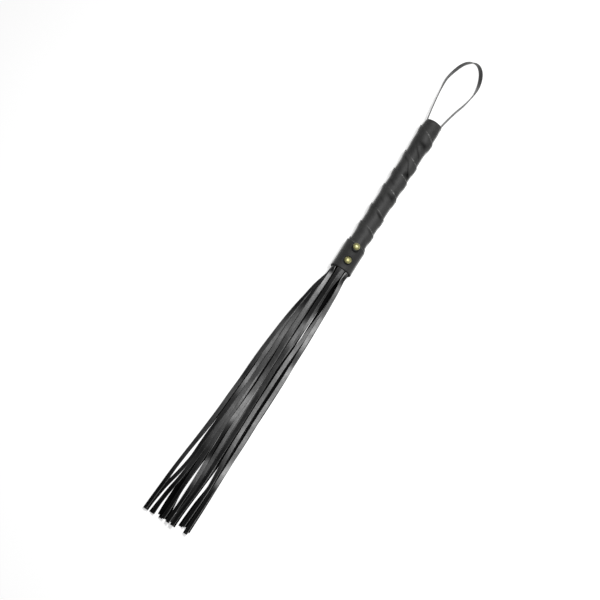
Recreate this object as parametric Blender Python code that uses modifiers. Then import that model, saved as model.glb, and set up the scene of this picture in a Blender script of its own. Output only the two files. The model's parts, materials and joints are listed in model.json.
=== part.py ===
# Multi-tail leather whip with a wrapped handle, a wrist loop and a riveted collar.
# It lies on the surface z = 0 with the handle along +Y: the wrist loop points to +Y
# and the tails to -Y. All sizes are metres.
import math

import bmesh
import bpy
from mathutils import Matrix, Vector

# Handle
AXIS_X = 0.0107
AXIS_Z = 0.01275
Y_BUTT = 0.2211
HANDLE_LENGTH = 0.2044
Y_MOUTH = Y_BUTT - HANDLE_LENGTH
CORE_RADIUS = 0.0090
CORE_INSET = 0.0040
DISC_THICKNESS = 0.0012

# Helical wrap: a strip whose butt-side edge rides over the turn before it
WRAP_INNER = 0.00935
WRAP_THICKNESS = 0.0010
WRAP_LIFT = 0.00115
WRAP_PITCH = 0.0252
WRAP_LAP = 0.0030
WRAP_RAMP = 0.0018
WRAP_STEPS = 24
WRAP_PHASE = 0.571
WRAP_UNDER_COLLAR = 0.0110

# Collar, fringe band and rivets
COLLAR_LENGTH = 0.0355
COLLAR_INNER = 0.01175
COLLAR_OUTER = 0.01275
COLLAR_CHAMFER = 0.00025
CORE_END_RADIUS = 0.0083
BAND_INNER = 0.0085
BAND_THICKNESS = 0.00095
BAND_GAP = 0.00017
BAND_TURNS = 1.84
BAND_START = 0.0030
BAND_END = 0.0235
RIVET_FROM_MOUTH = (0.0115, 0.0299)
RIVET_TILT = math.radians(11.0)
RIVET_CAP_RADIUS = 0.0040
RIVET_CAP_HEIGHT = 0.0018
PIN_RADIUS = 0.0011
PIN_CLEARANCE = 0.0002
PIN_INNER_END = 0.0045

# Wrist strap
STRAP_WIDTH = 0.0055
STRAP_THICKNESS = 0.00125
STRAP_X = 0.0081
STRAP_GAP = 0.0003
STRAP_END_LENGTH = 0.0280
LOOP_PIVOT_OUT = 0.00345
LOOP_LENGTH = 0.0952
LOOP_TILT_LEFT = math.radians(52.0)
LOOP_TILT_RIGHT = math.radians(-48.0)

# Fringe: a neck outside the mouth, then separate tails
NECK_LENGTH = 0.0277
TAIL_WIDTH = 0.0048
TAIL_THICKNESS = 0.0010
TAIL_GAP = 0.00035
TAIL_SIDE_ROOM = 0.00045
RISE_REACH = 0.065
RISE = {"low": 0.0, "mid": 0.006, "top": 0.009}
TAIL_STOPS = (28, 45, 60, 80, 100, 120, 140, 160, 180, 200, 225, 245, 260, 280, 300, 320, 333)
# In the order they are heaped: the tail's end, then its distance from the handle's axis at
# each stop, all in millimetres. Ends and stops are measured from the mouth.
TAILS = {
    "tail_low_1": (331, (
        -13.2, -16.8, -19.6, -22.4, -24.4, -26.0, -27.2, -28.3, -29.2,
        -30.2, -32.4, -34.8, -36.7, -38.6, -39.7, -40.5, -41.0)),
    "tail_low_3": (331, (
        -7.0, -9.4, -11.2, -12.8, -13.8, -14.3, -14.4, -14.5, -14.8,
        -15.4, -16.4, -17.2, -18.2, -19.2, -19.4, -17.2, -16.6)),
    "tail_low_5": (333, (
        0.4, -0.4, -1.0, -1.2, -1.0, -0.8, -0.6, -0.6, -0.6,
        -0.6, -0.6, -0.6, -1.0, -2.5, -4.1, -5.6, -6.0)),
    "tail_low_7": (330, (
        8.2, 8.5, 8.8, 9.2, 9.8, 10.2, 10.5, 10.6, 10.5,
        10.3, 10.3, 10.3, 10.3, 10.5, 10.7, 10.9, 11.1)),
    "tail_low_2": (330, (
        -10.4, -13.4, -15.9, -18.1, -19.6, -20.6, -21.3, -22.0, -22.9,
        -23.8, -24.2, -24.4, -24.2, -24.2, -24.6, -24.6, -24.2)),
    "tail_low_4": (332, (
        -3.6, -5.6, -7.0, -7.7, -7.8, -7.8, -7.9, -8.2, -9.2,
        -10.8, -11.6, -11.9, -11.6, -11.6, -12.0, -13.0, -13.6)),
    "tail_low_6": (329, (
        4.4, 4.4, 4.4, 4.7, 5.3, 5.7, 5.8, 5.8, 5.8,
        5.8, 6.1, 6.3, 6.1, 4.9, 2.6, 1.5, 1.0)),
    "tail_mid_7": (333, (
        9.2, 9.5, 9.6, 9.8, 10.1, 10.4, 10.8, 10.8, 10.5,
        10.5, 10.5, 10.4, 10.3, 10.0, 9.7, 9.4, 9.4)),
    "tail_mid_2": (333, (
        -11.0, -12.6, -14.2, -16.0, -16.8, -17.0, -17.8, -18.8, -20.0,
        -21.3, -23.0, -23.4, -23.8, -26.4, -30.2, -32.6, -33.8)),
    "tail_mid_4": (333, (
        -8.0, -9.0, -9.5, -9.8, -9.9, -9.9, -9.8, -9.2, -8.9,
        -8.7, -8.4, -8.1, -8.0, -8.0, -8.1, -7.6, -7.0)),
    "tail_mid_6": (327, (
        8.6, 8.2, 7.4, 6.0, 4.5, 3.4, 2.9, 2.6, 2.6,
        2.8, 3.4, 4.4, 5.7, 6.7, 6.9, 6.4, 6.0)),
    "tail_mid_1": (333, (
        -12.6, -15.2, -17.4, -19.6, -21.2, -22.5, -23.2, -24.0, -24.8,
        -25.5, -27.0, -28.0, -28.7, -31.8, -36.0, -38.6, -39.6)),
    "tail_mid_3": (333, (
        -9.0, -10.4, -11.8, -13.0, -13.8, -14.2, -14.3, -14.6, -15.4,
        -16.8, -18.2, -19.0, -19.6, -21.0, -22.2, -22.0, -21.6)),
    "tail_mid_5": (331, (
        -0.2, -0.6, -0.7, -1.4, -2.6, -3.6, -4.4, -4.9, -5.0,
        -4.9, -4.4, -3.4, -2.4, -3.2, -5.4, -7.6, -8.4)),
    "tail_top_1": (333, (
        -15.3, -18.4, -20.9, -23.5, -25.5, -27.3, -28.5, -29.6, -30.5,
        -31.3, -33.1, -35.0, -36.7, -38.5, -39.6, -40.6, -41.2)),
    "tail_top_3": (332, (
        -10.6, -11.8, -13.2, -15.0, -15.9, -16.0, -16.6, -16.5, -16.9,
        -17.8, -18.6, -18.5, -18.3, -18.4, -18.4, -18.6, -19.2)),
    "tail_top_5": (333, (
        -1.8, -2.8, -3.5, -3.8, -3.9, -3.9, -3.9, -3.8, -3.5,
        -3.2, -2.9, -2.6, -2.5, -2.9, -4.4, -6.0, -6.4)),
    "tail_top_6": (328, (
        9.4, 8.8, 7.6, 5.9, 4.2, 3.0, 2.6, 2.5, 2.5,
        2.7, 3.0, 3.5, 4.3, 5.4, 5.2, 4.4, 3.8)),
    "tail_top_2": (333, (
        -12.0, -13.4, -14.8, -16.0, -16.4, -16.6, -17.4, -18.6, -19.7,
        -20.8, -22.2, -23.2, -24.0, -26.2, -29.0, -31.2, -31.6)),
    "tail_top_4": (333, (
        -7.8, -8.8, -9.8, -10.2, -10.1, -10.0, -10.2, -10.8, -11.8,
        -12.9, -13.6, -13.0, -12.1, -11.8, -11.9, -12.2, -12.5)),
    "tail_top_7": (332, (
        9.9, 10.0, 10.0, 10.0, 10.1, 10.3, 10.6, 10.6, 10.4,
        10.3, 10.3, 10.3, 10.4, 10.9, 11.1, 10.9, 10.8)),
}


def clear_scene():
    for old in list(bpy.data.objects):
        bpy.data.objects.remove(old, do_unlink=True)


def make_collection(name):
    made = bpy.data.collections.new(name)
    bpy.context.scene.collection.children.link(made)
    return made


def make_material(name, colour, roughness, metallic):
    made = bpy.data.materials.new(name)
    made.use_nodes = True
    shader = made.node_tree.nodes["Principled BSDF"]
    shader.inputs["Base Color"].default_value = (*colour, 1.0)
    shader.inputs["Roughness"].default_value = roughness
    shader.inputs["Metallic"].default_value = metallic
    return made


def finish(bm, name, collection, material, origin=Vector()):
    bmesh.ops.recalc_face_normals(bm, faces=bm.faces[:])
    bmesh.ops.translate(bm, vec=-origin, verts=bm.verts[:])
    mesh = bpy.data.meshes.new(name)
    bm.to_mesh(mesh)
    bm.free()
    mesh.shade_smooth()
    mesh.set_sharp_from_angle(angle=math.radians(35))
    made = bpy.data.objects.new(name, mesh)
    made.location = origin
    collection.objects.link(made)
    if material is not None:
        made.data.materials.append(material)
    else:
        made.hide_render = True
        made.display_type = "WIRE"
    return made


def on_axis(radius, y, angle=0.0):
    return Vector((AXIS_X + radius * math.cos(angle), y, AXIS_Z + radius * math.sin(angle)))


def rod_mesh(radius, low, high, segments, matrix):
    bm = bmesh.new()
    bmesh.ops.create_cone(
        bm, cap_ends=True, segments=segments, radius1=radius, radius2=radius,
        depth=high - low, matrix=matrix @ Matrix.Translation((0, 0, (low + high) / 2)),
    )
    return bm


def along_handle(y):
    return Matrix.Translation((AXIS_X, y, AXIS_Z)) @ Matrix.Rotation(math.radians(-90), 4, "X")


def out_of_handle(y):
    return Matrix.Translation((AXIS_X, y, AXIS_Z)) @ Matrix.Rotation(RIVET_TILT, 4, "Y")


def box_mesh(low, high):
    bm = bmesh.new()
    size = [b - a for a, b in zip(low, high)]
    middle = [(a + b) / 2 for a, b in zip(low, high)]
    bmesh.ops.create_cube(
        bm, size=1.0, matrix=Matrix.Translation(middle) @ Matrix.Diagonal((*size, 1.0))
    )
    return bm


def turned(name, profile, segments, frame, material, closed=False):
    """Screw a profile about the frame's Z; it runs from the top down its outer side."""
    mesh = bpy.data.meshes.new(name)
    count = len(profile)
    pairs = [(k, k + 1) for k in range(count - 1)]
    if closed:
        pairs.append((count - 1, 0))
    mesh.from_pydata([(r, 0, z) for r, z in profile], pairs, [])
    made = bpy.data.objects.new(name, mesh)
    made.matrix_world = frame
    parts.objects.link(made)
    made.data.materials.append(material)
    screw = made.modifiers.new("turn", "SCREW")
    screw.axis = "Z"
    screw.angle = math.tau
    screw.steps = segments
    screw.render_steps = segments
    screw.use_merge_vertices = True
    screw.merge_threshold = 1e-6
    screw.use_smooth_shade = True
    return made


def subtract(target, cutter):
    cut = target.modifiers.new("cut_" + cutter.name, "BOOLEAN")
    cut.operation = "DIFFERENCE"
    cut.solver = "EXACT"
    cut.object = cutter


def ease(value):
    value = min(max(value, 0.0), 1.0)
    return value * value * (3 - 2 * value)


def ribbon_mesh(stations):
    """Loft of a rectangle; a station is (centre, width direction, thickness direction, w, t)."""
    bm = bmesh.new()
    rings = []
    for centre, across, through, width, thick in stations:
        a = across * (width / 2)
        b = through * (thick / 2)
        corners = (centre - a - b, centre + a - b, centre + a + b, centre - a + b)
        rings.append([bm.verts.new(point) for point in corners])
    for near, far in zip(rings, rings[1:]):
        for k in range(4):
            n = (k + 1) % 4
            bm.faces.new((near[k], near[n], far[n], far[k]))
    bm.faces.new(rings[0])
    bm.faces.new(rings[-1])
    return bm


def add_core():
    low = Y_MOUTH + CORE_INSET
    step = Y_MOUTH + BAND_END + 0.0003
    high = Y_BUTT - DISC_THICKNESS - 0.0003
    profile = [
        (0.0, high), (CORE_RADIUS, high), (CORE_RADIUS, step),
        (CORE_END_RADIUS, step), (CORE_END_RADIUS, low), (0.0, low),
    ]
    return turned("handle_core", profile, 48, along_handle(0), wood)


def add_disc():
    bm = rod_mesh(CORE_RADIUS, Y_BUTT - DISC_THICKNESS, Y_BUTT, 48, along_handle(0))
    return finish(bm, "butt_disc", parts, leather)


def add_wrap():
    low = WRAP_INNER
    high = low + WRAP_LIFT
    reach = WRAP_PITCH + WRAP_LAP
    inner = [(low, 0.0), (low, WRAP_PITCH - WRAP_RAMP), (high, WRAP_PITCH - 0.0002), (high, reach)]
    outer = [(r + WRAP_THICKNESS, y) for r, y in inner]
    profile = inner + outer[::-1]
    turns = math.ceil(HANDLE_LENGTH / WRAP_PITCH) + 2
    first = Y_BUTT + WRAP_PITCH * WRAP_PHASE
    bm = bmesh.new()
    face = bm.faces.new([bm.verts.new(on_axis(r, first + y)) for r, y in profile])
    steps = turns * WRAP_STEPS
    bmesh.ops.spin(
        bm, geom=[face], cent=(AXIS_X, 0, AXIS_Z), axis=(0, 1, 0),
        dvec=(0, -WRAP_PITCH / WRAP_STEPS, 0), angle=math.tau * turns, steps=steps,
    )
    wrap = finish(bm, "handle_wrap", parts, leather)
    wide = 0.03
    end = Y_MOUTH + COLLAR_LENGTH - WRAP_UNDER_COLLAR
    above = rod_mesh(wide, Y_BUTT, Y_BUTT + 0.12, 24, along_handle(0))
    below = rod_mesh(wide, end - 0.12, end, 24, along_handle(0))
    subtract(wrap, finish(above, "cut_wrap_butt", cutters, None))
    subtract(wrap, finish(below, "cut_wrap_mouth", cutters, None))
    return wrap


def add_band():
    bm = bmesh.new()
    per_turn = 32
    count = int(per_turn * BAND_TURNS)
    rise = BAND_THICKNESS + BAND_GAP
    inner = []
    outer = []
    for k in range(count + 1):
        angle = math.tau * k / per_turn
        radius = BAND_INNER + rise * k / per_turn
        inner.append(on_axis(radius, Y_MOUTH + BAND_START, angle))
        outer.append(on_axis(radius + BAND_THICKNESS, Y_MOUTH + BAND_START, angle))
    face = bm.faces.new([bm.verts.new(point) for point in inner + outer[::-1]])
    grown = bmesh.ops.extrude_face_region(bm, geom=[face])
    moved = [item for item in grown["geom"] if isinstance(item, bmesh.types.BMVert)]
    bmesh.ops.translate(bm, vec=(0, BAND_END - BAND_START, 0), verts=moved)
    return finish(bm, "fringe_band", parts, tail_leather)


def add_collar():
    top = COLLAR_LENGTH
    c = COLLAR_CHAMFER
    profile = [
        (COLLAR_INNER, top), (COLLAR_OUTER - c, top), (COLLAR_OUTER, top - c),
        (COLLAR_OUTER, c), (COLLAR_OUTER - c, 0.0), (COLLAR_INNER, 0.0),
    ]
    return turned("collar", profile, 56, along_handle(Y_MOUTH), leather, closed=True)


def add_rivet(number, y):
    frame = out_of_handle(y)
    base = COLLAR_OUTER + 0.0001
    rim = 0.0004
    dome = RIVET_CAP_HEIGHT - rim
    profile = [(0.0, base + rim + dome)]
    for k in range(4, 0, -1):
        angle = math.radians(90) * k / 5
        profile.append((RIVET_CAP_RADIUS * math.cos(angle), base + rim + dome * math.sin(angle)))
    profile += [(RIVET_CAP_RADIUS, base + rim), (RIVET_CAP_RADIUS, base), (0.0, base)]
    turned(f"rivet_cap_{number}", profile, 24, frame, brass)
    pin = rod_mesh(PIN_RADIUS, PIN_INNER_END, COLLAR_OUTER, 16, frame)
    finish(pin, f"rivet_pin_{number}", parts, steel)
    hole = rod_mesh(PIN_RADIUS + PIN_CLEARANCE, PIN_INNER_END - 0.0005, 0.02, 20, frame)
    return finish(hole, f"cut_rivet_{number}", cutters, None)


def add_strap_end(side, sign):
    x0 = AXIS_X + sign * STRAP_X
    half_x = STRAP_THICKNESS / 2
    half_z = STRAP_WIDTH / 2
    low = (x0 - half_x, Y_BUTT - STRAP_END_LENGTH, AXIS_Z - half_z)
    high = (x0 + half_x, Y_BUTT + 0.0004, AXIS_Z + half_z)
    finish(box_mesh(low, high), f"strap_end_{side}", parts, leather)
    room = 0.0002
    inner = sign * (STRAP_X - half_x - room)
    outer = sign * 0.0120
    low = (AXIS_X + min(inner, outer), Y_BUTT - STRAP_END_LENGTH - room, AXIS_Z - half_z - room)
    high = (AXIS_X + max(inner, outer), Y_BUTT + 0.0050, AXIS_Z + half_z + room)
    return finish(box_mesh(low, high), f"cut_strap_{side}", cutters, None)


def smooth_path(points, per_span):
    """Catmull-Rom through points, as a list of vectors."""
    padded = [points[0] * 2 - points[1]] + points + [points[-1] * 2 - points[-2]]
    path = []
    for k in range(1, len(padded) - 2):
        a, b, c, d = padded[k - 1:k + 3]
        for j in range(per_span):
            t = j / per_span
            linear = (c - a) * t
            square = (a * 2 - b * 5 + c * 4 - d) * t ** 2
            cube = (b * 3 - a - c * 3 + d) * t ** 3
            path.append((b * 2 + linear + square + cube) / 2)
    path.append(points[-1])
    return path


def add_wrist_loop():
    pivot = Vector((AXIS_X, Y_BUTT + LOOP_PIVOT_OUT, AXIS_Z))
    reach = LOOP_LENGTH - LOOP_PIVOT_OUT - STRAP_THICKNESS / 2
    shape = (
        (-STRAP_X, 0.0), (-0.0118, 0.17), (-0.0140, 0.31), (-0.0159, 0.48), (-0.0166, 0.64),
        (-0.0136, 0.79), (-0.0090, 0.91), (-0.0020, 0.99), (0.0060, 0.99), (0.0128, 0.93),
        (0.0177, 0.85), (0.0205, 0.73), (0.0206, 0.58), (0.0181, 0.41), (0.0140, 0.26),
        (0.0104, 0.12), (STRAP_X, 0.0),
    )
    flat = smooth_path([Vector((x, reach * f, 0)) for x, f in shape], 3)
    last = len(flat) - 1
    stations = []
    for k, point in enumerate(flat):
        ahead = flat[min(k + 1, last)] - flat[max(k - 1, 0)]
        if k in (0, last):
            ahead = Vector((0, 1 if k == 0 else -1, 0))
        ahead.normalize()
        inward = Vector((ahead.y, -ahead.x, 0))
        u = k / last
        turn = LOOP_TILT_LEFT * ease((u - 0.10) / 0.22) * ease((0.52 - u) / 0.12)
        turn += LOOP_TILT_RIGHT * ease((u - 0.50) / 0.08) * ease((0.76 - u) / 0.14)
        across = Vector((0, 0, 1)) * math.cos(turn) + inward * math.sin(turn)
        through = inward * math.cos(turn) - Vector((0, 0, 1)) * math.sin(turn)
        half = STRAP_WIDTH / 2 * abs(across.z) + STRAP_THICKNESS / 2 * abs(through.z)
        base = (AXIS_Z - STRAP_WIDTH / 2) * (1 - point.y / reach)
        centre = Vector((pivot.x + point.x, pivot.y + point.y, base + half))
        stations.append((centre, across, through, STRAP_WIDTH, STRAP_THICKNESS))
    for at, direction in ((0, -1), (-1, 1)):
        centre, across, through, width, thick = stations[at]
        for degrees in (25, 50, 72):
            angle = math.radians(degrees)
            back = Vector((0, -STRAP_WIDTH / 2 * math.sin(angle), 0))
            extra = (centre + back, across, through, width * math.cos(angle), thick)
            stations.insert(0 if direction < 0 else len(stations), extra)
    finish(ribbon_mesh(stations), "wrist_loop", parts, leather, pivot)


def between(values, reach):
    """Value at a reach (mm), straight between the stops."""
    k = 1
    while k < len(TAIL_STOPS) - 1 and reach > TAIL_STOPS[k]:
        k += 1
    low, high = TAIL_STOPS[k - 1], TAIL_STOPS[k]
    return values[k - 1] + (values[k] - values[k - 1]) * (reach - low) / (high - low)


def heap_tails():
    """Height of each tail's centre at the stops: every tail lies on those laid before it."""
    first, last = TAIL_STOPS[0], TAIL_STOPS[-1]
    reaches = range(first, last + 1)
    step = TAIL_THICKNESS + TAIL_GAP
    near = (TAIL_WIDTH * 1.03 + TAIL_SIDE_ROOM) * 1000
    laid = []
    heights = {}
    for name, (end, places) in TAILS.items():
        xs = [between(places, r) for r in reaches]
        need = [TAIL_THICKNESS / 2] * len(xs)
        for other_xs, other_zs in laid:
            for k, x in enumerate(xs):
                if abs(x - other_xs[k]) < near:
                    need[k] = max(need[k], other_zs[k] + step)
        zs = []
        for j in range(len(TAIL_STOPS)):
            low = TAIL_STOPS[max(j - 1, 0)] - first
            high = TAIL_STOPS[min(j + 1, len(TAIL_STOPS) - 1)] - first
            zs.append(max(need[low:high + 1]))
        laid.append((xs, [between(zs, r) for r in reaches]))
        heights[name] = zs
    for name, zs in heights.items():
        rise = RISE[name.split("_")[1]]
        for j, stop in enumerate(TAIL_STOPS):
            zs[j] += rise * (1 - ease(stop / 1000 / RISE_REACH))
    return heights


def add_tail(name, heights):
    end, places = TAILS[name]
    reaches = [*TAIL_STOPS[:-1], end]
    points = []
    for reach in reaches:
        x = between(places, reach) / 1000
        points.append(Vector((AXIS_X + x, Y_MOUTH - reach / 1000, between(heights, reach))))
    last = len(points) - 1
    stations = []
    for k, here in enumerate(points):
        ahead = points[min(k + 1, last)] - points[max(k - 1, 0)]
        if k == 0:
            ahead = Vector((0, -1, 0))
        ahead.z = 0.0
        ahead.normalize()
        across = Vector((-ahead.y, ahead.x, 0))
        stations.append((here, across, Vector((0, 0, 1)), TAIL_WIDTH, TAIL_THICKNESS))
    finish(ribbon_mesh(stations), name, parts, tail_leather, points[0])


def add_neck(heights):
    count = 28
    steps = 8
    near = Vector((AXIS_X, Y_MOUTH + 0.0027, AXIS_Z))
    left = min(places[0] for end, places in TAILS.values()) / 1000
    right = max(places[0] for end, places in TAILS.values()) / 1000
    half_height = (max(zs[0] for zs in heights.values()) + TAIL_THICKNESS / 2) / 2
    half_width = (right - left) / 2 + TAIL_WIDTH * 0.46
    far = Vector((AXIS_X + (left + right) / 2, Y_MOUTH - NECK_LENGTH, half_height))
    bm = bmesh.new()
    rings = []
    for k in range(steps + 1):
        t = k / steps
        blend = ease(t * 1.05 - 0.05)
        centre = near.lerp(far, blend)
        centre.y = near.y + (far.y - near.y) * t
        wide = 0.0112 + (half_width - 0.0112) * blend
        tall = 0.0112 + (half_height - 0.0112) * blend
        power = 1.0 - 0.5 * blend
        ring = []
        for n in range(count):
            angle = math.tau * n / count
            c = math.cos(angle)
            s = math.sin(angle)
            x = wide * math.copysign(abs(c) ** power, c)
            z = tall * math.copysign(abs(s) ** power, s)
            ring.append(bm.verts.new(centre + Vector((x, 0, z))))
        rings.append(ring)
    for a, b in zip(rings, rings[1:]):
        for n in range(count):
            m = (n + 1) % count
            bm.faces.new((a[n], a[m], b[m], b[n]))
    bm.faces.new(rings[0])
    bm.faces.new(rings[-1])
    finish(bm, "fringe_neck", parts, tail_leather)


clear_scene()
parts = make_collection("multi_tail_whip")
cutters = make_collection("cutters")
leather = make_material("wrap_leather", (0.055, 0.054, 0.053), 0.55, 0.0)
tail_leather = make_material("tail_leather", (0.022, 0.022, 0.023), 0.42, 0.0)
wood = make_material("core_wood", (0.42, 0.28, 0.15), 0.6, 0.0)
brass = make_material("rivet_brass", (0.78, 0.70, 0.42), 0.25, 1.0)
steel = make_material("pin_steel", (0.55, 0.55, 0.56), 0.35, 1.0)

core = add_core()
disc = add_disc()
wrap = add_wrap()
band = add_band()
collar = add_collar()
strap_cutters = [add_strap_end(side, sign) for side, sign in (("left", -1), ("right", 1))]
rivet_cutters = [add_rivet(k + 1, Y_MOUTH + y) for k, y in enumerate(RIVET_FROM_MOUTH)]
for cutter in strap_cutters:
    subtract(core, cutter)
    subtract(disc, cutter)
for cutter in rivet_cutters:
    subtract(core, cutter)
    subtract(collar, cutter)
subtract(band, rivet_cutters[0])
subtract(wrap, rivet_cutters[1])
add_wrist_loop()
tail_heights = heap_tails()
add_neck(tail_heights)
for tail in TAILS:
    add_tail(tail, tail_heights[tail])
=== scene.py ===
import json
import math

import bmesh
import bpy
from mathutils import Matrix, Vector, noise

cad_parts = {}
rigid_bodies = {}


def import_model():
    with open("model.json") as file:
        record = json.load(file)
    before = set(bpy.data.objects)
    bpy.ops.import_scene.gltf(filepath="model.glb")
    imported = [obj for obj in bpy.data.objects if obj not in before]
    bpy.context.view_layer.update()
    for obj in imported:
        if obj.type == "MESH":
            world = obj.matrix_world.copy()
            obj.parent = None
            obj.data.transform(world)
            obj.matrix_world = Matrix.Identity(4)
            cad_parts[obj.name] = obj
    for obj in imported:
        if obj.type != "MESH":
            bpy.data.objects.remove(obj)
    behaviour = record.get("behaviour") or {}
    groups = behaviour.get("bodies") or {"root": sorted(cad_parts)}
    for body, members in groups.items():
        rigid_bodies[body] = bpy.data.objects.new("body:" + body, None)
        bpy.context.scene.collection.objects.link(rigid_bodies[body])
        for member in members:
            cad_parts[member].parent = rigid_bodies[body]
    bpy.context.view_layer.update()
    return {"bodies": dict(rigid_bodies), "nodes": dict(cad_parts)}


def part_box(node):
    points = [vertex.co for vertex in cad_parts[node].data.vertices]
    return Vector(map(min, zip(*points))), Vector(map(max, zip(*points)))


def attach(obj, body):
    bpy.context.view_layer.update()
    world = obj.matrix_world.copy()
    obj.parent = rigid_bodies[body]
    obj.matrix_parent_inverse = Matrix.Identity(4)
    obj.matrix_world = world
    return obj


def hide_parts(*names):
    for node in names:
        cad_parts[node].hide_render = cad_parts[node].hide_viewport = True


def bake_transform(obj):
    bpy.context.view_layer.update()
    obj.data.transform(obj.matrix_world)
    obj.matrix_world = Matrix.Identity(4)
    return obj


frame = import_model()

MM = 0.001
UP = Vector((0, 0, 1))
SHARP = math.radians(40)

# Places, from the CAD frame
collar_low, collar_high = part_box("collar")
AXIS_X = (collar_low.x + collar_high.x) / 2
AXIS_Z = (collar_low.z + collar_high.z) / 2
MOUTH = collar_low.y
COLLAR_TOP = collar_high.y
COLLAR_R = (collar_high.z - collar_low.z) / 2
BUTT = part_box("butt_disc")[1].y

# ---------------------------------------------------------------- camera and light

CAMERA_AIM = Vector((-0.0114, -0.0326, 0.0))
CAMERA_DISTANCE = 1.575
CAMERA_AZIMUTH = 31.77
CAMERA_ELEVATION = 75.0
CAMERA_LENS = 85
SENSOR_WIDTH = 36
KEY_PLACE = (0.25, 0.15, 1.00)
KEY_AIM = (0, -0.05, 0)
KEY_SIZE = (0.25, 0.25)
KEY_POWER = 15.0
WORLD_STRENGTH = 0.025


def add_camera():
    data = bpy.data.cameras.new("camera")
    data.lens = CAMERA_LENS
    data.sensor_width = SENSOR_WIDTH
    camera = bpy.data.objects.new("camera", data)
    azimuth, elevation = math.radians(CAMERA_AZIMUTH), math.radians(CAMERA_ELEVATION)
    back = Vector((
        math.sin(azimuth) * math.cos(elevation),
        -math.cos(azimuth) * math.cos(elevation),
        math.sin(elevation),
    ))
    camera.location = CAMERA_AIM + back * CAMERA_DISTANCE
    camera.rotation_euler = (-back).to_track_quat("-Z", "Y").to_euler()
    bpy.context.scene.collection.objects.link(camera)
    bpy.context.scene.camera = camera


def add_area(name, place, target, size, power):
    data = bpy.data.lights.new(name, "AREA")
    data.shape = "RECTANGLE"
    data.size, data.size_y = size
    data.energy = power
    light = bpy.data.objects.new(name, data)
    light.location = place
    light.rotation_euler = (Vector(target) - Vector(place)).to_track_quat("-Z", "Y").to_euler()
    bpy.context.scene.collection.objects.link(light)


def add_world(strength):
    world = bpy.data.worlds.new("studio")
    bpy.context.scene.world = world
    world.use_nodes = True
    shade = world.node_tree.nodes["Background"]
    shade.inputs["Color"].default_value = (1, 1, 1, 1)
    shade.inputs["Strength"].default_value = strength


# ---------------------------------------------------------------- materials


class Graph:
    """A short way to write a material's nodes."""

    def __init__(self, name):
        self.material = bpy.data.materials.new(name)
        self.material.use_nodes = True
        self.tree = self.material.node_tree
        self.shader = self.tree.nodes["Principled BSDF"]
        self.place = self.tree.nodes.new("ShaderNodeTexCoord").outputs["Object"]

    def link(self, source, target):
        if isinstance(source, (int, float)):
            target.default_value = source
        elif isinstance(source, tuple):
            target.default_value = (*source, 1)
        else:
            self.tree.links.new(source, target)

    def stretched(self, scale):
        node = self.tree.nodes.new("ShaderNodeMapping")
        node.inputs["Scale"].default_value = scale
        self.link(self.place, node.inputs["Vector"])
        return node.outputs["Vector"]

    def noise(self, scale, detail=3, rough=0.55, vector=None):
        node = self.tree.nodes.new("ShaderNodeTexNoise")
        node.inputs["Scale"].default_value = scale
        node.inputs["Detail"].default_value = detail
        node.inputs["Roughness"].default_value = rough
        self.link(vector or self.place, node.inputs["Vector"])
        return node.outputs["Fac"]

    def cells(self, scale):
        node = self.tree.nodes.new("ShaderNodeTexVoronoi")
        node.feature = "SMOOTH_F1"
        node.inputs["Scale"].default_value = scale
        self.link(self.place, node.inputs["Vector"])
        return node.outputs["Distance"]

    def math(self, kind, a, b):
        node = self.tree.nodes.new("ShaderNodeMath")
        node.operation = kind
        self.link(a, node.inputs[0])
        self.link(b, node.inputs[1])
        return node.outputs[0]

    def range(self, value, low, high, to_low, to_high):
        node = self.tree.nodes.new("ShaderNodeMapRange")
        for k, number in enumerate((low, high, to_low, to_high)):
            node.inputs[k + 1].default_value = number
        self.link(value, node.inputs[0])
        return node.outputs[0]

    def mix(self, factor, a, b):
        node = self.tree.nodes.new("ShaderNodeMix")
        node.data_type = "RGBA"
        self.link(factor, node.inputs[0])
        self.link(a, node.inputs[6])
        self.link(b, node.inputs[7])
        return node.outputs[2]

    def attribute(self, name):
        node = self.tree.nodes.new("ShaderNodeAttribute")
        node.attribute_name = name
        return node.outputs["Fac"]

    def grazing(self):
        node = self.tree.nodes.new("ShaderNodeLayerWeight")
        node.inputs["Blend"].default_value = 0.5
        return node.outputs["Facing"]

    def bump(self, height, strength, distance, after=None):
        node = self.tree.nodes.new("ShaderNodeBump")
        node.inputs["Strength"].default_value = strength
        node.inputs["Distance"].default_value = distance
        self.link(height, node.inputs["Height"])
        if after is not None:
            self.link(after, node.inputs["Normal"])
        return node.outputs["Normal"]

    def finish(self, **inputs):
        for name, value in inputs.items():
            self.link(value, self.shader.inputs[name.replace("_", " ")])
        return self.material


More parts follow.
